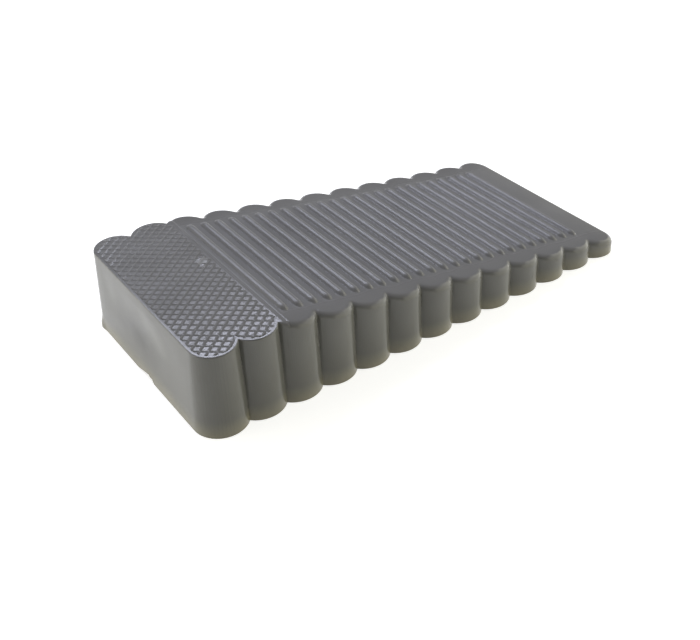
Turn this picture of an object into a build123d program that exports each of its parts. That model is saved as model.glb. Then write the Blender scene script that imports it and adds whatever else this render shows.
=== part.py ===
"""Silicone door stop: a moulded wedge with lobed sides, a hatched heel and raised ribs across its slope."""
import os
from math import atan2, cos, degrees, hypot, radians, sin, tan

from build123d import *

# Overall sizes in millimetres: the origin is on the floor under the middle, the heel towards -X, the nose towards +X
length = 120.0
width = 54.0
heel_height = 20.0
nose_height = 3.3
heel_length = 20.6  # flat top, measured along the floor from the foot of the back face
slope_sag = 0.4  # how far the middle of the slope hangs below a straight line
draft_angle = 2.9  # each wall leans inwards as it rises, so that the mould lets go

# Lobes along both sides, the two rounded corners among them
lobe_count = 13
lobe_depth = 1.9  # from crest to cusp, on the floor
heel_corner_radius = 6.1
nose_corner_radius = 4.75
rim_radius = 1.4  # soft rim along the slope, made as two facets
rim_facet_angles = (30, 60)  # from the upright wall

# Ribs across the slope, each a half-round bar with its ends' corners taken off
rib_count = 25
rib_width = 2.0
rib_height = 0.7
rib_length = 40.8
rib_end_chamfer = 0.5
first_rib_gap = 3.0  # from the break line to the first rib's axis
last_rib_gap = 10.1  # from the last rib's axis to the nose

# Crossed lines that stand up from the heel's top
hatch_step_x = 2.69  # one diamond's length, from heel to nose
hatch_step_y = 2.12  # one diamond's width, from side to side
hatch_cross_gap = 9.5  # from the foot of the back face to the row of crossings nearest the heel's middle
hatch_line_width = 0.6
hatch_line_height = 0.2
hatch_margin = 0.7  # plain rim inside the heel's edge
hatch_strip = 0.4  # plain strip before the break line

# Torn nick in the foot of the back face: place across the wedge and height of each point of its ragged edge
nick_edge = [(4.1, 0), (-0.9, 1.1), (-1.4, 0.7), (-2.3, 0.85), (-3.2, 0)]
nick_depth = 0.9

# Worked out from the sizes above
heel_x = -length / 2
nose_x = length / 2
break_x = heel_x + heel_length
lean = tan(radians(draft_angle))
lobe_pitch = (length - heel_corner_radius - nose_corner_radius) / (lobe_count - 1)
lobe_radius = ((lobe_pitch / 2) ** 2 + lobe_depth**2) / (2 * lobe_depth)
lobe_radii = [heel_corner_radius] + [lobe_radius] * (lobe_count - 2) + [nose_corner_radius]
lobe_places = [heel_x + heel_corner_radius + i * lobe_pitch for i in range(lobe_count)]


def slope_z(x):
    """Height of the slope at x."""
    run = (x - break_x) / (nose_x - break_x)
    return heel_height + (nose_height - heel_height) * run - 4 * slope_sag * run * (1 - run)


def slope_fall(x):
    """Steepness of the slope at x, negative because it falls towards the nose."""
    run = (x - break_x) / (nose_x - break_x)
    return (nose_height - heel_height - 4 * slope_sag * (1 - 2 * run)) / (nose_x - break_x)


def lobe_bar(radius, inset):
    """Outline of a bar across the wedge, its two round ends a pair of lobes, with the walls moved in."""
    SlotOverall(width - 2 * inset, 2 * (radius - inset), rotation=90)


# One drafted bar for each pair of lobes, its rim rounded where it lies under the slope
block_height = slope_z(heel_x)
bars = []
for x, radius in zip(lobe_places, lobe_radii):
    with BuildPart() as bar:
        with BuildSketch() as foot:
            with Locations((x, 0)):
                lobe_bar(radius, 0)
        extrude(amount=block_height, taper=draft_angle)
        if x > break_x:
            slope_plane = Plane((x, 0, slope_z(x)), x_dir=(1, 0, slope_fall(x)), z_dir=(-slope_fall(x), 0, 1))
            for angle in rim_facet_angles:
                facet_inset = rim_radius * (1 - (1 - sin(radians(angle))) / cos(radians(angle)))
                with BuildSketch(slope_plane) as rim:
                    lobe_bar(radius, slope_z(x) * lean + facet_inset)
                extrude(amount=-heel_height, taper=-angle, mode=Mode.INTERSECT)
    bars.append(bar.part)

# One rib, lying along Y about its own axis
rib_radius = ((rib_width / 2) ** 2 + rib_height**2) / (2 * rib_height)
rib_sink = rib_radius - rib_height  # the axis lies this far under the slope
with BuildPart() as rib:
    with BuildSketch(Plane.XZ) as section:
        Circle(rib_radius)
    extrude(amount=rib_length / 2, both=True)
    with BuildSketch() as plan:
        Rectangle(rib_width, rib_length)
        chamfer(plan.vertices(), rib_end_chamfer)
    extrude(amount=rib_radius, both=True, mode=Mode.INTERSECT)

# Rib axes, evenly spaced along the slope and sunk at right angles to it
rib_first_x = break_x + first_rib_gap
rib_pitch = (nose_x - last_rib_gap - rib_first_x) / (rib_count - 1)
rib_places = []
for i in range(rib_count):
    x = rib_first_x + i * rib_pitch
    fall = slope_fall(x)
    rib_places.append((x + rib_sink * fall / hypot(1, fall), 0, slope_z(x) - rib_sink / hypot(1, fall)))

# Crossed lines through one row of crossings, long enough to reach over the whole heel
hatch_angle = degrees(atan2(hatch_step_y, hatch_step_x))
hatch_reach_x = heel_length / 2 + hatch_step_x
hatch_line_length = 2 * hatch_reach_x / cos(radians(hatch_angle))
hatch_rows = int((width / 2 + hatch_reach_x * hatch_step_y / hatch_step_x) / hatch_step_y) + 1
hatch_cross_x = heel_x + hatch_cross_gap
hatch_places = [(hatch_cross_x, row * hatch_step_y) for row in range(-hatch_rows, hatch_rows + 1)]

# The heel's top inside its plain rim: the lobed outline, joined up and ended before the break line
hatch_inset = heel_height * lean + hatch_margin
hatch_start_x = heel_x + hatch_inset
hatch_run = break_x - hatch_strip - hatch_start_x
with BuildSketch() as heel_top:
    for x, radius in zip(lobe_places, lobe_radii):
        with Locations((x, 0)):
            lobe_bar(radius, hatch_inset)
    with Locations((hatch_start_x + hatch_run / 2, 0)):
        Rectangle(hatch_run - 2 * heel_corner_radius, width - 2 * (lobe_depth + hatch_inset))
        Rectangle(hatch_run, width, mode=Mode.INTERSECT)

with BuildPart() as door_stop:
    # The bars run into each other, a plain core fills the valleys between their rims
    add(bars)
    with BuildSketch() as core:
        Rectangle(length - 2 * heel_corner_radius, width - 2 * (lobe_depth + block_height * lean + rim_radius))
    extrude(amount=block_height)

    # Cut down to the wedge's side view
    with BuildSketch(Plane.XZ) as side_view:
        with BuildLine():
            middle_x = (break_x + nose_x) / 2
            slope_line = ThreePointArc((break_x, heel_height), (middle_x, slope_z(middle_x)), (nose_x, nose_height))
            Polyline(slope_line @ 1, (nose_x, 0), (heel_x, 0), (heel_x, heel_height), slope_line @ 0)
        make_face()
    extrude(amount=width, both=True, mode=Mode.INTERSECT)

    # Ribs
    with Locations(*rib_places):
        add(rib.part)

    # Hatch
    with BuildSketch(Plane.XY.offset(heel_height)) as hatch:
        with Locations(*hatch_places):
            Rectangle(hatch_line_length, hatch_line_width, rotation=hatch_angle)
            Rectangle(hatch_line_length, hatch_line_width, rotation=-hatch_angle)
        add(heel_top.sketch, mode=Mode.INTERSECT)
    extrude(amount=hatch_line_height)

    # Nick
    with BuildSketch(Plane.YZ.offset(heel_x)) as nick:
        with BuildLine():
            Polyline(*nick_edge, close=True)
        make_face()
    extrude(amount=nick_depth, mode=Mode.SUBTRACT)

os.makedirs("parts", exist_ok=True)
door_stop.part.label = "door_stop"
export_step(door_stop.part, "parts/door_stop.step")
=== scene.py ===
import math

import bpy
from mathutils import Matrix, Vector


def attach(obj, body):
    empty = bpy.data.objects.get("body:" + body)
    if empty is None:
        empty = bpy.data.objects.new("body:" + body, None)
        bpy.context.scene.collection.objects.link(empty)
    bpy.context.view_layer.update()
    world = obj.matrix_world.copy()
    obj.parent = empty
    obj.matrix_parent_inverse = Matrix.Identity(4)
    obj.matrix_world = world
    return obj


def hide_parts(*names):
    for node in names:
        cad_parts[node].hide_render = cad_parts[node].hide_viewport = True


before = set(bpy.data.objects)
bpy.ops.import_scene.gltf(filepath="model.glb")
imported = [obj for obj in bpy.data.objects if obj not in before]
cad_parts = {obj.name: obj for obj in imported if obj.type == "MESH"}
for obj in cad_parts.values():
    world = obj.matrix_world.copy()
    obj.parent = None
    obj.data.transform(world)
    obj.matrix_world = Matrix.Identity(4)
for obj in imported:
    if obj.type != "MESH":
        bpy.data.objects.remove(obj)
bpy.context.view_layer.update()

print("door stop: frame loaded")

mm = 0.001
scene = bpy.context.scene

# wedge, all in millimetres, x from -60 at the heel to +60 at the nose
stopBody = {
    "Length": 120.0,
    "Width": 54.0,
    "Heel Height": 20.0,
    "Nose Height": 3.3,
    "Heel Length": 20.6,
    "Slope Sag": 0.4,
    "Lean": math.tan(math.radians(2.9)),
    "Lobe Depth": 1.9,
    "Heel Corner": 6.1,
    "Nose Corner": 4.75,
    "Slope Rim": 1.4,
    "Heel Rim": 0.3,
    "Sink": 0.25,
    "Flash Lip": 0.4,
}
lobeCount = 13
lobeSteps = 24  # stations along one lobe, even
rimSteps = 8
acrossSteps = 44  # even, rims among them
wallSteps = 20
stationCount = lobeCount * lobeSteps
outerFace = 0.999  # the grids run from -1 to 1, so only an outer face lies past this
floorRing = 0.3  # from ring to ring on the underside
breakBlend = (0.9, 1.2)  # the rim widens from this far before the break to this far after it
sinkMark = {"halfWidth": 19, "middle": 9.2, "halfHeight": 8.6}  # where the back face is hollow
flashScrap = {"behind": -57, "middle": 23.2, "width": (0.5, 3.0), "height": (0.6, 3.0)}  # whole, then none


def newTree(treeName, inputs):
    tree = bpy.data.node_groups.new(treeName, "GeometryNodeTree")
    tree.interface.new_socket("Geometry", in_out="OUTPUT", socket_type="NodeSocketGeometry")
    for socketName, value in inputs.items():
        socket = tree.interface.new_socket(socketName, in_out="INPUT", socket_type="NodeSocketFloat")
        socket.default_value = value
    source = tree.nodes.new("NodeGroupInput")
    target = tree.nodes.new("NodeGroupOutput")
    return tree, source.outputs, target.inputs[0]


def plug(tree, socket, value):
    if isinstance(value, bpy.types.NodeSocket):
        tree.links.new(value, socket)
    else:
        socket.default_value = value


def calcIn(tree):
    def calc(operation, *values):
        node = tree.nodes.new("ShaderNodeMath")
        node.operation = operation
        for socket, value in zip(node.inputs, values):
            plug(tree, socket, value)
        return node.outputs[0]
    return calc


def squared(calc, value):
    return calc("MULTIPLY", value, value)


def triangleLeg(calc, longSide, leg):  # the other leg of a right-angled triangle, or zero
    squares = calc("SUBTRACT", squared(calc, longSide), squared(calc, leg))
    return calc("SQRT", calc("MAXIMUM", squares, 0))


def arcRadius(calc, halfChord, rise):  # of the arc that rises this far over its chord
    squares = calc("ADD", squared(calc, halfChord), squared(calc, rise))
    return calc("DIVIDE", squares, calc("MULTIPLY", rise, 2))


def choose(tree, test, whenFalse, whenTrue):
    node = tree.nodes.new("GeometryNodeSwitch")
    node.input_type = "FLOAT"
    plug(tree, node.inputs[0], test)
    plug(tree, node.inputs[1], whenFalse)
    plug(tree, node.inputs[2], whenTrue)
    return node.outputs[0]


def soften(tree, value, low, high):  # smooth step from 0 at low to 1 at high
    node = tree.nodes.new("ShaderNodeMapRange")
    node.interpolation_type = "SMOOTHSTEP"
    plug(tree, node.inputs["Value"], value)
    plug(tree, node.inputs["From Min"], low)
    plug(tree, node.inputs["From Max"], high)
    return node.outputs[0]


def splitPosition(tree):
    position = tree.nodes.new("GeometryNodeInputPosition")
    split = tree.nodes.new("ShaderNodeSeparateXYZ")
    tree.links.new(position.outputs[0], split.inputs[0])
    return split.outputs


def place(tree, geometry, x, y, z):
    joined = tree.nodes.new("ShaderNodeCombineXYZ")
    plug(tree, joined.inputs[0], x)
    plug(tree, joined.inputs[1], y)
    plug(tree, joined.inputs[2], z)
    mover = tree.nodes.new("GeometryNodeSetPosition")
    tree.links.new(geometry, mover.inputs["Geometry"])
    tree.links.new(joined.outputs[0], mover.inputs["Position"])
    return mover.outputs[0]


def cubeGrid(tree, stepsX, stepsY, stepsZ):
    cube = tree.nodes.new("GeometryNodeMeshCube")
    cube.inputs["Size"].default_value = (2, 2, 2)
    cube.inputs["Vertices X"].default_value = stepsX + 1
    cube.inputs["Vertices Y"].default_value = stepsY + 1
    cube.inputs["Vertices Z"].default_value = stepsZ + 1
    return cube.outputs["Mesh"]


def meshBoolean(tree, operation, meshes):
    node = tree.nodes.new("GeometryNodeMeshBoolean")
    node.operation = operation
    node.solver = "MANIFOLD"
    if operation == "DIFFERENCE":
        tree.links.new(meshes[0], node.inputs["Mesh 1"])
        meshes = meshes[1:]
    for mesh in meshes:
        tree.links.new(mesh, node.inputs["Mesh 2"])
    return node.outputs["Mesh"]


def breakLine(calc, size):  # x where the flat heel ends
    return calc("SUBTRACT", size["Heel Length"], calc("MULTIPLY", size["Length"], 0.5))


def slopeHeight(tree, size, x):  # flat heel, then the sagging slope
    calc = calcIn(tree)
    reach = calc("SUBTRACT", size["Length"], size["Heel Length"])
    run = calc("MAXIMUM", calc("DIVIDE", calc("SUBTRACT", x, breakLine(calc, size)), reach), 0)
    fall = calc("MULTIPLY", run, calc("SUBTRACT", size["Nose Height"], size["Heel Height"]))
    bow = calc("MULTIPLY", run, calc("SUBTRACT", 1, run))
    hang = calc("MULTIPLY", bow, calc("MULTIPLY", size["Slope Sag"], 4))
    return calc("ADD", size["Heel Height"], calc("SUBTRACT", fall, hang))


def lobedOutline(tree, size, station, ring, leanIn, inset):  # x and half width at one station
    calc = calcIn(tree)
    half = lobeSteps / 2
    moved = calc("ADD", leanIn, inset)
    pastHeel = calc("SUBTRACT", size["Length"], size["Heel Corner"])
    betweenCorners = calc("SUBTRACT", pastHeel, size["Nose Corner"])
    pitch = calc("DIVIDE", betweenCorners, lobeCount - 1)
    step = calc("DIVIDE", pitch, lobeSteps)
    halfPitch = calc("MULTIPLY", pitch, 0.5)
    radius = arcRadius(calc, halfPitch, size["Lobe Depth"])
    halfWidth = calc("MULTIPLY", size["Width"], 0.5)
    halfLength = calc("MULTIPLY", size["Length"], 0.5)

    # along the lobes, with an arc round each cusp where the outline moves in
    firstX = calc("SUBTRACT", size["Heel Corner"], halfLength)
    x = calc("ADD", firstX, calc("MULTIPLY", calc("SUBTRACT", station, half), step))
    local = calc("MULTIPLY", calc("SUBTRACT", calc("MODULO", station, lobeSteps), half), step)
    toCusp = calc("SUBTRACT", halfPitch, calc("ABSOLUTE", local))
    wallRadius = calc("SUBTRACT", radius, leanIn)
    arc = triangleLeg(calc, calc("SUBTRACT", radius, moved), local)
    cusp = triangleLeg(calc, wallRadius, halfPitch)
    fillet = triangleLeg(calc, inset, toCusp)
    nearCusp = calc("LESS_THAN", toCusp, calc("MULTIPLY", inset, calc("DIVIDE", halfPitch, wallRadius)))
    centreY = calc("SUBTRACT", halfWidth, radius)
    y = calc("ADD", centreY, choose(tree, nearCusp, arc, calc("SUBTRACT", cusp, fillet)))

    # quarter rounds at the four corners
    def corner(cornerRadius, steps, side):
        share = calc("DIVIDE", calc("SUBTRACT", steps, ring), calc("SUBTRACT", half, ring))
        turn = calc("MULTIPLY", calc("SUBTRACT", 1, share), math.pi / 2)
        left = calc("SUBTRACT", cornerRadius, moved)
        cornerX = calc("SUBTRACT", halfLength, cornerRadius)
        cornerY = calc("SUBTRACT", halfWidth, cornerRadius)
        along = calc("ADD", cornerX, calc("MULTIPLY", left, calc("SINE", turn)))
        over = calc("ADD", cornerY, calc("MULTIPLY", left, calc("COSINE", turn)))
        return calc("MULTIPLY", along, side), over
    heelX, heelY = corner(size["Heel Corner"], station, -1)
    noseX, noseY = corner(size["Nose Corner"], calc("SUBTRACT", stationCount, station), 1)
    inHeel = calc("LESS_THAN", station, half)
    inNose = calc("GREATER_THAN", station, stationCount - half)
    x = choose(tree, inNose, choose(tree, inHeel, x, heelX), noseX)
    y = choose(tree, inNose, choose(tree, inHeel, y, heelY), noseY)
    return x, y


def wedgeTree():
    tree, size, result = newTree("lobedWedge", stopBody | {"Grow": 0.0})
    calc = calcIn(tree)
    u, v, w = splitPosition(tree)
    station = calc("ROUND", calc("MULTIPLY", calc("ADD", u, 1), stationCount / 2))
    fromEnd = calc("MINIMUM", station, calc("SUBTRACT", stationCount, station))
    fromSide = calc("ROUND", calc("MULTIPLY", calc("SUBTRACT", 1, calc("ABSOLUTE", v)), acrossSteps / 2))
    ring = calc("MINIMUM", calc("MINIMUM", fromEnd, fromSide), rimSteps)
    onTop = calc("GREATER_THAN", w, outerFace)
    onFloor = calc("LESS_THAN", w, -outerFace)
    onBack = calc("LESS_THAN", u, -outerFace)

    # crisp rim round the heel, softer along the slope
    plainX = lobedOutline(tree, size, station, ring, 0.0, 0.0)[0]
    breakX = breakLine(calc, size)
    blendFrom = calc("SUBTRACT", breakX, breakBlend[0])
    blendTo = calc("ADD", breakX, breakBlend[1])
    widening = calc("SUBTRACT", size["Slope Rim"], size["Heel Rim"])
    rim = calc("ADD", size["Heel Rim"], calc("MULTIPLY", soften(tree, plainX, blendFrom, blendTo), widening))
    turn = calc("MULTIPLY", ring, math.pi / 2 / rimSteps)
    lift = calc("MULTIPLY", rim, calc("SINE", turn))
    topInset = calc("MULTIPLY", rim, calc("SUBTRACT", 1, calc("COSINE", turn)))
    floorInset = calc("MULTIPLY", ring, floorRing)
    inset = calc("ADD", calc("MULTIPLY", onTop, topInset), calc("MULTIPLY", onFloor, floorInset))

    # walls lean in as they rise to the slope
    insetX = lobedOutline(tree, size, station, ring, 0.0, inset)[0]
    wallTop = calc("SUBTRACT", slopeHeight(tree, size, insetX), rim)
    risen = calc("MULTIPLY", calc("MULTIPLY", calc("ADD", w, 1), 0.5), wallTop)
    z = calc("ADD", risen, calc("MULTIPLY", onTop, lift))
    leanIn = calc("SUBTRACT", calc("MULTIPLY", z, size["Lean"]), size["Grow"])
    x, halfY = lobedOutline(tree, size, station, ring, leanIn, inset)
    share = calc("DIVIDE", calc("SUBTRACT", fromSide, ring), calc("SUBTRACT", acrossSteps / 2, ring))
    y = calc("MULTIPLY", calc("MULTIPLY", halfY, calc("SUBTRACT", 1, share)), calc("SIGN", v))

    # the back face has sunk a little where the thick heel cooled last
    def bowl(offset, halfSize):
        return calc("MAXIMUM", calc("SUBTRACT", 1, calc("POWER", calc("DIVIDE", offset, halfSize), 2)), 0)
    bowY = bowl(y, sinkMark["halfWidth"])
    bowZ = bowl(calc("SUBTRACT", z, sinkMark["middle"]), sinkMark["halfHeight"])
    hollow = calc("MULTIPLY", calc("MULTIPLY", bowY, bowZ), calc("MULTIPLY", onBack, size["Sink"]))

    # a scrap of flash stands out at the foot of its far corner
    inHeelEnd = calc("LESS_THAN", x, flashScrap["behind"])
    fromScrap = calc("ABSOLUTE", calc("SUBTRACT", y, flashScrap["middle"]))
    lipY = calc("SUBTRACT", 1, soften(tree, fromScrap, *flashScrap["width"]))
    lipZ = calc("SUBTRACT", 1, soften(tree, z, *flashScrap["height"]))
    lip = calc("MULTIPLY", calc("MULTIPLY", lipY, lipZ), calc("MULTIPLY", inHeelEnd, size["Flash Lip"]))
    shapedX = calc("SUBTRACT", calc("ADD", x, hollow), lip)
    plug(tree, result, place(tree, cubeGrid(tree, stationCount, acrossSteps, wallSteps), shapedX, y, z))
    return tree


# raised ribs across the slope, in millimetres
ribField = {
    "Rib Count": 25.0,
    "Rib Width": 2.0,
    "Rib Height": 0.7,
    "Rib Length": 40.8,
    "First Gap": 3.0,
    "Last Gap": 10.1,
    "Foot Flare": 0.14,
    "End Taper": 1.8,
}
ballSteps = 24
ballPole = 0.0001  # least distance from the ball's axis, so that nothing is divided by zero
flareTop = 0.3  # a rib's foot widens from this height down
flareLimit = 1.5


def ribTree():
    tree, size, result = newTree("slopeRibs", ribField | stopBody)
    calc = calcIn(tree)
    halfRib = calc("MULTIPLY", size["Rib Width"], 0.5)
    radius = arcRadius(calc, halfRib, size["Rib Height"])
    sunkAxis = calc("SUBTRACT", radius, size["Rib Height"])

    # one rib: a ball pulled out along y, with a flared foot that dips under the slope
    ball = tree.nodes.new("GeometryNodeMeshUVSphere")
    ball.inputs["Segments"].default_value = ballSteps
    ball.inputs["Rings"].default_value = ballSteps
    ball.inputs["Radius"].default_value = 1
    x, y, z = splitPosition(tree)
    flat = calc("MAXIMUM", calc("SQRT", calc("ADD", squared(calc, x), squared(calc, y))), ballPole)
    height = calc("SUBTRACT", calc("MULTIPLY", z, radius), sunkAxis)
    lowness = calc("MAXIMUM", calc("SUBTRACT", 1, calc("DIVIDE", height, flareTop)), 0)
    flare = calc("MULTIPLY", size["Foot Flare"], calc("POWER", calc("MINIMUM", lowness, flareLimit), 2))
    reach = calc("MULTIPLY", calc("ADD", radius, flare), flat)
    ribEnd = calc("MULTIPLY", halfRib, size["End Taper"])
    straight = calc("SUBTRACT", calc("MULTIPLY", size["Rib Length"], 0.5), ribEnd)
    ribX = calc("MULTIPLY", reach, calc("DIVIDE", x, flat))
    endY = calc("MULTIPLY", calc("MULTIPLY", reach, size["End Taper"]), calc("DIVIDE", y, flat))
    ribY = calc("ADD", endY, calc("MULTIPLY", straight, calc("SIGN", y)))
    oneRib = place(tree, ball.outputs["Mesh"], ribX, ribY, height)

    # a row of points down the slope carries the ribs
    row = tree.nodes.new("GeometryNodeMeshLine")
    tree.links.new(size["Rib Count"], row.inputs["Count"])
    row.inputs["Offset"].default_value = (1, 0, 0)
    number = splitPosition(tree)[0]
    firstX = calc("ADD", breakLine(calc, size), size["First Gap"])
    lastX = calc("SUBTRACT", calc("MULTIPLY", size["Length"], 0.5), size["Last Gap"])
    step = calc("DIVIDE", calc("SUBTRACT", lastX, firstX), calc("SUBTRACT", size["Rib Count"], 1))
    rowX = calc("ADD", firstX, calc("MULTIPLY", number, step))
    points = place(tree, row.outputs["Mesh"], rowX, 0.0, slopeHeight(tree, size, rowX))

    # each leans with the slope, by its fall over one millimetre
    here = splitPosition(tree)[0]
    ahead = slopeHeight(tree, size, calc("ADD", here, 0.5))
    behind = slopeHeight(tree, size, calc("SUBTRACT", here, 0.5))
    tilt = tree.nodes.new("ShaderNodeCombineXYZ")
    plug(tree, tilt.inputs[1], calc("ARCTANGENT", calc("SUBTRACT", behind, ahead)))
    carrier = tree.nodes.new("GeometryNodeInstanceOnPoints")
    tree.links.new(points, carrier.inputs["Points"])
    tree.links.new(oneRib, carrier.inputs["Instance"])
    tree.links.new(tilt.outputs[0], carrier.inputs["Rotation"])
    real = tree.nodes.new("GeometryNodeRealizeInstances")
    tree.links.new(carrier.outputs[0], real.inputs[0])
    plug(tree, result, real.outputs[0])
    return tree


# crossed ridges on the heel, in millimetres
heelHatch = {
    "Step X": 2.69,
    "Step Y": 2.12,
    "Cross X": -50.5,
    "Line Half Width": 0.36,
    "Line Height": 0.13,
    "Margin": 0.7,
    "End X": -39.8,
}
hatchReach = 16  # lines each way from the middle
hatchSteps = 8  # stations from one line to the next
nearRate = 0.58  # stations lie closer together beside a line
farRate = 2.26  # and wider apart in the diamond between
sheetRoot = 0.3  # the hatched sheet goes this far under the heel's top
sheetLift = 0.02  # and its diamonds lie this far over it
fenceRise = 3.0  # the fence round the sheet stands this much over the heel
endBox = (40, 80, 40)  # keeps what lies behind End X


def hatchTree(wedge):
    tree, size, result = newTree("heelHatch", heelHatch | stopBody)
    calc = calcIn(tree)
    u, v, w = splitPosition(tree)

    def lineNumber(value):  # place counted in lines, and how far that is from the nearest line
        steps = calc("MULTIPLY", value, hatchReach)
        line = calc("ROUND", steps)
        off = calc("MULTIPLY", calc("SUBTRACT", steps, line), 2)
        apart = calc("ABSOLUTE", off)
        wide = calc("SUBTRACT", calc("MULTIPLY", apart, farRate), farRate - 1)
        bent = calc("MAXIMUM", calc("MULTIPLY", apart, nearRate), wide)
        signed = calc("MULTIPLY", calc("MULTIPLY", bent, calc("SIGN", off)), 0.5)
        return calc("ADD", line, signed), calc("MULTIPLY", bent, 0.5)
    first, firstOff = lineNumber(u)
    second, secondOff = lineNumber(v)
    stepX = size["Step X"]
    stepY = size["Step Y"]
    alongX = calc("MULTIPLY", calc("ADD", first, second), calc("MULTIPLY", stepX, 0.5))
    x = calc("ADD", size["Cross X"], alongX)
    y = calc("MULTIPLY", calc("SUBTRACT", second, first), calc("MULTIPLY", stepY, 0.5))
    diagonal = calc("SQRT", calc("ADD", squared(calc, stepX), squared(calc, stepY)))
    spacing = calc("DIVIDE", calc("MULTIPLY", stepX, stepY), diagonal)
    near = calc("MULTIPLY", calc("MINIMUM", firstOff, secondOff), spacing)
    share = calc("MINIMUM", calc("DIVIDE", near, size["Line Half Width"]), 1)
    ridge = calc("MULTIPLY", calc("SUBTRACT", 1, share), size["Line Height"])
    onTop = calc("GREATER_THAN", w, 0)
    raised = calc("MULTIPLY", onTop, calc("ADD", ridge, sheetRoot + sheetLift))
    z = calc("ADD", size["Heel Height"], calc("ADD", raised, -sheetRoot))
    sheetSteps = hatchReach * 2 * hatchSteps
    sheet = place(tree, cubeGrid(tree, sheetSteps, sheetSteps, 1), x, y, z)

    # kept inside the heel's plain rim
    fence = tree.nodes.new("GeometryNodeGroup")
    fence.node_tree = wedge
    fenceTop = calc("ADD", size["Heel Height"], fenceRise)
    for socketName in stopBody:
        if socketName in ("Heel Height", "Nose Height"):
            tree.links.new(fenceTop, fence.inputs[socketName])
        elif socketName in ("Slope Sag", "Sink", "Flash Lip"):
            fence.inputs[socketName].default_value = 0
        else:
            tree.links.new(size[socketName], fence.inputs[socketName])
    plug(tree, fence.inputs["Grow"], calc("MULTIPLY", size["Margin"], -1))

    # and ended before the break
    cube = tree.nodes.new("GeometryNodeMeshCube")
    cube.inputs["Size"].default_value = endBox
    shift = tree.nodes.new("ShaderNodeCombineXYZ")
    plug(tree, shift.inputs[0], calc("SUBTRACT", size["End X"], endBox[0] / 2))
    plug(tree, shift.inputs[2], size["Heel Height"])
    moved = tree.nodes.new("GeometryNodeTransform")
    tree.links.new(cube.outputs["Mesh"], moved.inputs["Geometry"])
    tree.links.new(shift.outputs[0], moved.inputs["Translation"])
    plug(tree, result, meshBoolean(tree, "INTERSECT", [sheet, fence.outputs[0], moved.outputs[0]]))
    return tree


# torn nick in the foot of the back face, y and z of its ragged edge in millimetres
tornNick = {
    "edge": [(4.1, -1.0), (4.1, 0.0), (-0.9, 1.1), (-1.4, 0.7), (-2.3, 0.85), (-3.2, 0.0), (-3.2, -1.0)],
    "depth": 0.9,
    "clear": 3.0,  # the cutter starts this far behind the heel
}


def nickCutter():
    heelX = -stopBody["Length"] / 2
    outside = [(heelX - tornNick["clear"], y, z) for y, z in tornNick["edge"]]
    inside = [(heelX + tornNick["depth"], y, z) for y, z in tornNick["edge"]]
    count = len(outside)
    faces = [list(reversed(range(count))), list(range(count, 2 * count))]
    for i in range(count):
        j = (i + 1) % count
        faces.append([i, j, j + count, i + count])
    mesh = bpy.data.meshes.new("nickCutter")
    mesh.from_pydata(outside + inside, [], faces)
    mesh.update()
    cutter = bpy.data.objects.new("nickCutter", mesh)
    scene.collection.objects.link(cutter)
    return cutter


mergeWithin = 0.0005  # millimetres
crispAngle = 18  # edges sharper than this stay crisp, in degrees


def doorStopTree(material, cutter):
    wedge = wedgeTree()
    everything = stopBody | ribField | heelHatch
    tree, size, result = newTree("doorStop", everything)
    calc = calcIn(tree)

    def use(group, names):
        node = tree.nodes.new("GeometryNodeGroup")
        node.node_tree = group
        for socketName in names:
            tree.links.new(size[socketName], node.inputs[socketName])
        return node.outputs[0]
    body = use(wedge, stopBody)
    ribs = use(ribTree(), stopBody | ribField)
    hatch = use(hatchTree(wedge), stopBody | heelHatch)
    nick = tree.nodes.new("GeometryNodeObjectInfo")
    nick.inputs["Object"].default_value = cutter
    moulded = meshBoolean(tree, "UNION", [body, ribs, hatch])
    torn = meshBoolean(tree, "DIFFERENCE", [moulded, nick.outputs["Geometry"]])
    merged = tree.nodes.new("GeometryNodeMergeByDistance")
    merged.inputs["Distance"].default_value = mergeWithin
    tree.links.new(torn, merged.inputs["Geometry"])
    toMetres = tree.nodes.new("GeometryNodeTransform")
    toMetres.inputs["Scale"].default_value = (mm, mm, mm)
    tree.links.new(merged.outputs[0], toMetres.inputs["Geometry"])
    angle = tree.nodes.new("GeometryNodeInputMeshEdgeAngle")
    gentle = calc("LESS_THAN", angle.outputs["Unsigned Angle"], math.radians(crispAngle))
    smooth = tree.nodes.new("GeometryNodeSetShadeSmooth")
    smooth.domain = "EDGE"
    tree.links.new(toMetres.outputs[0], smooth.inputs["Geometry"])
    tree.links.new(gentle, smooth.inputs["Shade Smooth"])
    real = tree.nodes.new("GeometryNodeRealizeInstances")
    tree.links.new(smooth.outputs[0], real.inputs[0])
    coat = tree.nodes.new("GeometryNodeSetMaterial")
    coat.inputs["Material"].default_value = material
    tree.links.new(real.outputs[0], coat.inputs["Geometry"])
    plug(tree, result, coat.outputs[0])
    return tree, everything


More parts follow.
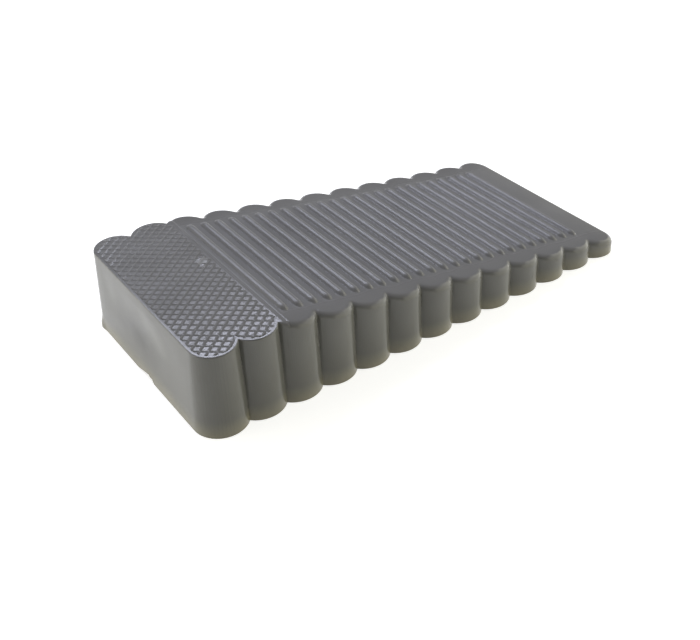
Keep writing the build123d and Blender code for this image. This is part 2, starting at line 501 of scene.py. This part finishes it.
siliconeLook = {  # linear colours, lengths in metres, noise as scale and detail
    "paleWall": (0.181, 0.179, 0.161, 1),
    "deepWall": (0.147, 0.145, 0.130, 1),
    # the top's colours are painted light: cooler and darker than the walls' for the cool light from above
    "paleTopPaintedCool": (0.176, 0.174, 0.176, 1),
    "deepTopPaintedCool": (0.142, 0.140, 0.142, 1),
    "paintedCoolTopFacing": (0.2, 0.8),  # upward share of the normal, from wall to top
    "mottleNoise": (60, 3),
    "mottle": (0.2, 0.8),
    # painted glow at the foot, standing in for light let through the thin rim and bounced up from the floor
    "paintedFootGlow": (0.40, 0.365, 0.255, 1),
    "footGlowHeight": 0.0045,
    "footGlowNoise": (150, 2),
    "footGlowShare": (0.35, 0.6),
    "smudgeTone": (0.3, 0.3, 0.3, 1),
    "smudgeShare": 0.4,
    "smudgeAt": (-0.0416, 0.0047, 0.0201),
    "smudgeReach": 0.0017,
    "smudgeNoise": (900, 2),
    "smudgeWander": 0.0005,
    # painted shade in the sunk patch, where the back face reflects less of the white floor
    "sunkPaintedShade": (0.06, 0.06, 0.052, 1),
    "sunkShadeShare": 0.95,
    "sunkShadePatch": {"at": (-0.0595, 0.0030, 0.0096), "reach": (0.001, 0.0115, 0.0048), "tilt": 10},
    # painted sheen round the sunk patch: a band and a smaller patch beside it
    "paintedSheenTone": (0.26, 0.26, 0.24, 1),
    "sheenShare": 0.8,
    "sheenBand": {"at": (-0.0592, -0.0052, 0.0148), "reach": (0.001, 0.0072, 0.0030), "tilt": 26},
    "sheenSpotPatch": {"at": (-0.0593, 0.0145, 0.0138), "reach": (0.001, 0.003, 0.0045), "tilt": 0},
    "sheenSpotShare": 0.5,
    "patchNoise": (160, 2),
    "patchWander": 0.15,
    "patchFade": (-0.4, 1.35),
    "refraction": 1.41,
    "skinNoise": (130, 2),
    "skin": (0.08, 0.14),  # roughness
    "breakFade": (-0.0396, -0.0385),  # x, from the heel's skin to the slope's
    "rubbedFade": (0.019, 0.026),  # half width, to the end of the rubbed skin
    "rubbed": 0.22,  # doors rub the ribs
    "patchDull": 0.15,
    "heelFade": (0.0195, 0.0199),  # height, up to the heel's top
    "heelDull": 0.12,
    "filmFade": (0.01992, 0.02),
    "film": 0.45,  # glassy film left by the mould
    "waveNoise": (85, 1),
    "waveHeight": 0.12,  # this and the other bump heights in millimetres
    "grainNoise": (2600, 2),
    "grainHeight": 0.012,
    "creaseAt": -0.0385,
    "creaseReach": 0.0003,
    "creaseFade": (0.0187, 0.0193),
    "creaseDepth": 0.05,
    "smudgeHeight": 0.08,
}


def greySilicone():
    look = siliconeLook
    material = bpy.data.materials.new("greySilicone")
    material.use_nodes = True
    tree = material.node_tree
    calc = calcIn(tree)
    shader = tree.nodes["Principled BSDF"]
    coordinates = tree.nodes.new("ShaderNodeTexCoord").outputs
    where = coordinates["Object"]

    def cloud(scale, detail):
        node = tree.nodes.new("ShaderNodeTexNoise")
        node.inputs["Scale"].default_value = scale
        node.inputs["Detail"].default_value = detail
        tree.links.new(where, node.inputs["Vector"])
        return node.outputs["Fac"]

    def spread(value, low, high):  # noise lies mostly between 0.3 and 0.7
        node = tree.nodes.new("ShaderNodeMapRange")
        node.clamp = False
        plug(tree, node.inputs["Value"], value)
        node.inputs["From Min"].default_value = 0.3
        node.inputs["From Max"].default_value = 0.7
        node.inputs["To Min"].default_value = low
        node.inputs["To Max"].default_value = high
        return node.outputs[0]

    def blend(share, first, second):
        node = tree.nodes.new("ShaderNodeMix")
        node.data_type = "RGBA"
        plug(tree, node.inputs["Factor"], share)
        plug(tree, node.inputs[6], first)
        plug(tree, node.inputs[7], second)
        return node.outputs[2]

    def splitUp(vector):
        node = tree.nodes.new("ShaderNodeSeparateXYZ")
        tree.links.new(vector, node.inputs[0])
        return node.outputs
    x, y, z = splitUp(where)
    normalUp = splitUp(coordinates["Normal"])[2]

    # smear left on the heel beside the break
    apart = tree.nodes.new("ShaderNodeVectorMath")
    apart.operation = "DISTANCE"
    tree.links.new(where, apart.inputs[0])
    apart.inputs[1].default_value = look["smudgeAt"]
    wander = spread(cloud(*look["smudgeNoise"]), -look["smudgeWander"], look["smudgeWander"])
    ragged = calc("ADD", apart.outputs["Value"], wander)
    smudge = calc("SUBTRACT", 1, soften(tree, ragged, look["smudgeReach"] * 0.5, look["smudgeReach"]))

    # the back face sank in the mould: a dull patch darkened by painted shade, with painted sheen round it
    def patch(at, reach, tilt):
        local = tree.nodes.new("ShaderNodeMapping")
        local.vector_type = "TEXTURE"
        tree.links.new(where, local.inputs["Vector"])
        local.inputs["Location"].default_value = at
        local.inputs["Rotation"].default_value = (math.radians(tilt), 0, 0)
        local.inputs["Scale"].default_value = reach
        away = tree.nodes.new("ShaderNodeVectorMath")
        away.operation = "LENGTH"
        tree.links.new(local.outputs[0], away.inputs[0])
        drift = spread(cloud(*look["patchNoise"]), -look["patchWander"], look["patchWander"])
        wavy = calc("ADD", away.outputs["Value"], drift)
        return calc("SUBTRACT", 1, soften(tree, wavy, *look["patchFade"]))
    # mask of the sunk patch: painted shade in the colour, duller skin in the roughness
    sunk = patch(**look["sunkShadePatch"])
    paintedSheenSpot = calc("MULTIPLY", patch(**look["sheenSpotPatch"]), look["sheenSpotShare"])
    paintedSheen = calc("ADD", patch(**look["sheenBand"]), paintedSheenSpot)

    # mottled grey; the top cooler and darker as painted light; paler and warmer at the foot as a painted
    # glow, for light let through the thin rim
    mottle = spread(cloud(*look["mottleNoise"]), *look["mottle"])
    walls = blend(mottle, look["deepWall"], look["paleWall"])
    top = blend(mottle, look["deepTopPaintedCool"], look["paleTopPaintedCool"])
    # painted light: upward-facing surfaces take the cooler, darker top colour
    mottled = blend(soften(tree, normalUp, *look["paintedCoolTopFacing"]), walls, top)
    # painted glow: paler and warmer towards the bottom of the walls
    foot = calc("SUBTRACT", 1, soften(tree, z, 0.0, look["footGlowHeight"]))
    footGlowShare = calc("MULTIPLY", foot, spread(cloud(*look["footGlowNoise"]), *look["footGlowShare"]))
    withFootGlow = blend(footGlowShare, mottled, look["paintedFootGlow"])
    smeared = blend(calc("MULTIPLY", smudge, look["smudgeShare"]), withFootGlow, look["smudgeTone"])
    # painted shade darkens the sunk patch
    withSunkShade = blend(calc("MULTIPLY", sunk, look["sunkShadeShare"]), smeared, look["sunkPaintedShade"])
    # painted sheen lightens the band and the smaller patch
    colour = blend(calc("MULTIPLY", paintedSheen, look["sheenShare"]), withSunkShade, look["paintedSheenTone"])
    plug(tree, shader.inputs["Base Color"], colour)

    # satin skin, duller where it is rubbed, sunk or smeared and on the heel
    skin = spread(cloud(*look["skinNoise"]), *look["skin"])
    onSlope = soften(tree, x, *look["breakFade"])
    amongRibs = calc("SUBTRACT", 1, soften(tree, calc("ABSOLUTE", y), *look["rubbedFade"]))
    rubbed = calc("MULTIPLY", calc("MULTIPLY", onSlope, amongRibs), look["rubbed"])
    onHeel = calc("MULTIPLY", calc("SUBTRACT", 1, onSlope), soften(tree, z, *look["heelFade"]))
    dulled = calc("ADD", rubbed, calc("MULTIPLY", calc("ADD", smudge, sunk), look["patchDull"]))
    heelDulled = calc("MULTIPLY", onHeel, look["heelDull"])
    plug(tree, shader.inputs["Roughness"], calc("ADD", calc("ADD", skin, dulled), heelDulled))
    shader.inputs["IOR"].default_value = look["refraction"]

    # slow waves, fine grain, a crease beside the break
    waves = calc("MULTIPLY", cloud(*look["waveNoise"]), look["waveHeight"])
    grain = calc("MULTIPLY", cloud(*look["grainNoise"]), look["grainHeight"])
    fromCrease = calc("ABSOLUTE", calc("SUBTRACT", x, look["creaseAt"]))
    shallow = calc("SUBTRACT", soften(tree, fromCrease, 0.0, look["creaseReach"]), 1)
    onTop = soften(tree, z, *look["creaseFade"])
    crease = calc("MULTIPLY", calc("MULTIPLY", shallow, onTop), look["creaseDepth"])
    marks = calc("ADD", crease, calc("MULTIPLY", smudge, look["smudgeHeight"]))
    bump = tree.nodes.new("ShaderNodeBump")
    bump.inputs["Strength"].default_value = 1
    bump.inputs["Distance"].default_value = mm
    plug(tree, bump.inputs["Height"], calc("ADD", calc("ADD", waves, grain), marks))
    tree.links.new(bump.outputs[0], shader.inputs["Normal"])

    # glassy film on the heel's top
    film = calc("MULTIPLY", onHeel, soften(tree, z, *look["filmFade"]))
    plug(tree, shader.inputs["Coat Weight"], calc("MULTIPLY", film, look["film"]))
    plug(tree, shader.inputs["Coat Roughness"], skin)
    tree.links.new(bump.outputs[0], shader.inputs["Coat Normal"])
    return material


def makeDoorStop():
    cutter = nickCutter()
    tree, everything = doorStopTree(greySilicone(), cutter)
    base = bpy.data.objects.new("doorStopBase", bpy.data.meshes.new("doorStopBase"))
    scene.collection.objects.link(base)
    modifier = base.modifiers.new("doorStop", "NODES")
    modifier.node_group = tree
    for socket in tree.interface.items_tree:
        if socket.in_out == "INPUT":
            modifier[socket.identifier] = everything[socket.name]
    bpy.context.view_layer.update()
    mesh = bpy.data.meshes.new_from_object(base.evaluated_get(bpy.context.evaluated_depsgraph_get()))
    mesh.name = "silicone_door_stop"
    stop = bpy.data.objects.new("silicone_door_stop", mesh)
    scene.collection.objects.link(stop)
    bpy.data.objects.remove(base)
    bpy.data.objects.remove(cutter)
    return stop


doorStop = makeDoorStop()
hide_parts("door_stop")
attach(doorStop, "root")
mesh = doorStop.data
triangles = sum(len(face.vertices) - 2 for face in mesh.polygons)
print("door stop: moulded,", len(mesh.vertices), "points,", triangles, "triangles")


def whiteToEye(tree, asLight, asSeen):  # brighter to the eye and in reflections than as a light
    calc = calcIn(tree)
    path = tree.nodes.new("ShaderNodeLightPath").outputs
    seen = calc("ADD", calc("ADD", path["Is Camera Ray"], path["Is Glossy Ray"]), path["Is Transmission Ray"])
    return calc("ADD", asLight, calc("MULTIPLY", seen, asSeen))


# flat ground that sweeps up all round, half sizes and height in metres
studioFloor = {
    "ground": 2,
    "raised": 3.2,
    "raisedTo": 0.6,
    "tone": (0.8, 0.8, 0.8, 1),
    "roughness": 0.8,
    "asLight": 0.0,
    "asSeen": 0.7,
}


def paleFloor():
    mesh = bpy.data.meshes.new("paleFloor")
    corners = [(-1, -1), (1, -1), (1, 1), (-1, 1)]
    inner = studioFloor["ground"]
    outer = studioFloor["raised"]
    ground = [(x * inner, y * inner, 0) for x, y in corners]
    raised = [(x * outer, y * outer, studioFloor["raisedTo"]) for x, y in corners]
    sweep = [(i, i + 4, (i + 1) % 4 + 4, (i + 1) % 4) for i in range(4)]
    mesh.from_pydata(ground + raised, [], [(0, 1, 2, 3)] + sweep)
    floor = bpy.data.objects.new("paleFloor", mesh)
    scene.collection.objects.link(floor)
    material = bpy.data.materials.new("whiteSweep")
    material.use_nodes = True
    tree = material.node_tree
    shader = tree.nodes["Principled BSDF"]
    shader.inputs["Base Color"].default_value = studioFloor["tone"]
    shader.inputs["Roughness"].default_value = studioFloor["roughness"]
    shader.inputs["Emission Color"].default_value = (1, 1, 1, 1)
    glow = whiteToEye(tree, studioFloor["asLight"], studioFloor["asSeen"])
    plug(tree, shader.inputs["Emission Strength"], glow)
    floor.data.materials.append(material)


paleFloor()

# soft panels round the object, angles in degrees, sizes and distance in metres
studioLight = {
    "softBack": {
        "azimuth": 79, "elevation": 50.5, "size": (0.5, 0.2), "watts": 2.72, "tint": (0.805, 0.835, 1.0),
    },
    "softLeft": {
        "azimuth": 150, "elevation": 14, "size": (0.6, 0.42), "watts": 2.5, "tint": (1.0, 0.99, 0.88),
    },
    "softFront": {
        "azimuth": 330, "elevation": 18, "size": (1.4, 0.7), "watts": 4.8, "tint": (1.0, 0.985, 0.80),
    },
}
panelAway = 0.65
studioWorld = {"asLight": 0.18, "asSeen": 0.05}


def addSoftbox(lampName, azimuth, elevation, size, watts, tint):
    lamp = bpy.data.lights.new(lampName, "AREA")
    lamp.shape = "RECTANGLE"
    lamp.size, lamp.size_y = size
    lamp.energy = watts
    lamp.color = tint
    turn = math.radians(azimuth)
    up = math.radians(elevation)
    towards = Vector((math.cos(turn) * math.cos(up), math.sin(turn) * math.cos(up), math.sin(up)))
    holder = bpy.data.objects.new(lampName, lamp)
    holder.location = towards * panelAway
    holder.rotation_euler = (-towards).to_track_quat("-Z", "Y").to_euler()
    scene.collection.objects.link(holder)


for lampName, lamp in studioLight.items():
    addSoftbox(lampName, **lamp)

world = bpy.data.worlds.new("studio")
world.use_nodes = True
scene.world = world
backdrop = world.node_tree.nodes["Background"]
backdrop.inputs["Color"].default_value = (1, 1, 1, 1)
plug(world.node_tree, backdrop.inputs["Strength"], whiteToEye(world.node_tree, **studioWorld))
scene.view_settings.view_transform = "Standard"
print("door stop: studio lit")

# the photograph's viewing angle, fitted to the outline, in degrees and millimetres
photoCamera = {
    "azimuth": -35.949,
    "elevation": 37.03,
    "roll": -0.556,
    "distance": 222.221,
    "target": (-12.947, -9.918, 0.0),
    "lens": 49.22,
    "sensor": 36,
    "nearest": 10,
}


def setCamera():
    turn = math.radians(photoCamera["azimuth"])
    rise = math.radians(photoCamera["elevation"])
    back = Vector((math.sin(turn) * math.cos(rise), -math.cos(turn) * math.cos(rise), math.sin(rise)))
    level = Vector((0, 0, 1)).cross(back).normalized()
    roll = Matrix.Rotation(math.radians(photoCamera["roll"]), 3, back)
    right = roll @ level
    up = roll @ back.cross(level)
    stand = (Vector(photoCamera["target"]) + back * photoCamera["distance"]) * mm
    camera = bpy.data.objects.new("photoCamera", bpy.data.cameras.new("photoCamera"))
    camera.data.lens = photoCamera["lens"]
    camera.data.sensor_width = photoCamera["sensor"]
    camera.data.clip_start = photoCamera["nearest"] * mm
    camera.matrix_world = Matrix.Translation(stand) @ Matrix((right, up, back)).transposed().to_4x4()
    scene.collection.objects.link(camera)
    scene.camera = camera


setCamera()
print("door stop: camera set")
